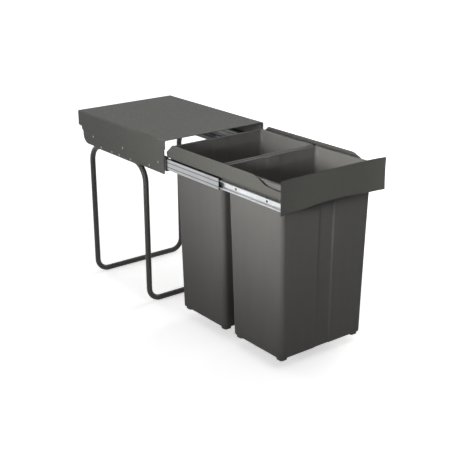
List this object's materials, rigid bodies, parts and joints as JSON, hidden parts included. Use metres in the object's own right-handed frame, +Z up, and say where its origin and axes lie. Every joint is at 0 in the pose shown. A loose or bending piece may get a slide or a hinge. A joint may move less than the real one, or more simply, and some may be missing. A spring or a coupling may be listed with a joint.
{
  "type": "pull out bin frame",
  "caption": "Floor-standing pull-out frame for a narrow base cabinet: bent tube legs under a sheet cover, with a drawer on ball slides that carries tapered waste bins.",
  "frame": {"origin": "on the floor, at the centre of the four floor screws", "axes": "+X across the cabinet to the right seen from the front, +Y towards the cabinet's back, +Z up; the drawer is pulled out towards -Y"},
  "size_m": [0.2534, 0.6998, 0.3805],
  "materials": {
    "painted_steel": "satin powder coat on bent tube",
    "painted_sheet": "fine matt powder coat on sheet",
    "bin_plastic": "moulded polypropylene, fine grain",
    "zinc_steel": "bright zinc plate",
    "cage_steel": "plain zinc",
    "ball_steel": "polished",
    "stop_rubber": "matt"
  },
  "bodies": {
    "base": {"front_leg_tube": "painted_steel", "rear_leg_tube": "painted_steel", "cover": "painted_sheet", "left_side_plate": "painted_sheet", "left_outer_rail": "zinc_steel", "left_rail_stop": "stop_rubber", "left_rail_rivets": "zinc_steel", "left_tube_rivets": "zinc_steel", "right_side_plate": "painted_sheet", "right_outer_rail": "zinc_steel", "right_rail_stop": "stop_rubber", "right_rail_rivets": "zinc_steel", "right_tube_rivets": "zinc_steel"},
    "drawer": {"front_plate": "painted_sheet", "front_cross_bar": "painted_sheet", "rear_cross_bar": "painted_sheet", "front_bin": "bin_plastic", "rear_bin": "bin_plastic", "left_inner_rail": "zinc_steel", "left_side_panel": "painted_sheet", "left_rail_screws": "zinc_steel", "right_inner_rail": "zinc_steel", "right_side_panel": "painted_sheet", "right_rail_screws": "zinc_steel"},
    "left_middle": {"left_middle_rail": "zinc_steel"},
    "left_outer_cage": {"left_outer_ball_cage": "cage_steel", "left_outer_balls": "ball_steel"},
    "left_inner_cage": {"left_inner_ball_cage": "cage_steel", "left_inner_balls": "ball_steel"},
    "right_middle": {"right_middle_rail": "zinc_steel"},
    "right_outer_cage": {"right_outer_ball_cage": "cage_steel", "right_outer_balls": "ball_steel"},
    "right_inner_cage": {"right_inner_ball_cage": "cage_steel", "right_inner_balls": "ball_steel"}
  },
  "joints": [
    {"name": "drawer_slide", "type": "slide", "parent": "base", "child": "drawer", "axis": [0, 1, 0], "range_m": [0, 0.34]},
    {"name": "left_middle_slide", "type": "slide", "parent": "base", "child": "left_middle", "axis": [0, 1, 0], "range_m": [0, 0.17]},
    {"name": "left_outer_cage_slide", "type": "slide", "parent": "base", "child": "left_outer_cage", "axis": [0, 1, 0], "range_m": [0, 0.085]},
    {"name": "left_inner_cage_slide", "type": "slide", "parent": "base", "child": "left_inner_cage", "axis": [0, 1, 0], "range_m": [0, 0.255]},
    {"name": "right_middle_slide", "type": "slide", "parent": "base", "child": "right_middle", "axis": [0, 1, 0], "range_m": [0, 0.17]},
    {"name": "right_outer_cage_slide", "type": "slide", "parent": "base", "child": "right_outer_cage", "axis": [0, 1, 0], "range_m": [0, 0.085]},
    {"name": "right_inner_cage_slide", "type": "slide", "parent": "base", "child": "right_inner_cage", "axis": [0, 1, 0], "range_m": [0, 0.255]}
  ],
  "couplings": [
    {"joint": "left_middle_slide", "follows": "drawer_slide", "ratio": 0.5},
    {"joint": "left_outer_cage_slide", "follows": "drawer_slide", "ratio": 0.25},
    {"joint": "left_inner_cage_slide", "follows": "drawer_slide", "ratio": 0.75},
    {"joint": "right_middle_slide", "follows": "drawer_slide", "ratio": 0.5},
    {"joint": "right_outer_cage_slide", "follows": "drawer_slide", "ratio": 0.25},
    {"joint": "right_inner_cage_slide", "follows": "drawer_slide", "ratio": 0.75}
  ]
}
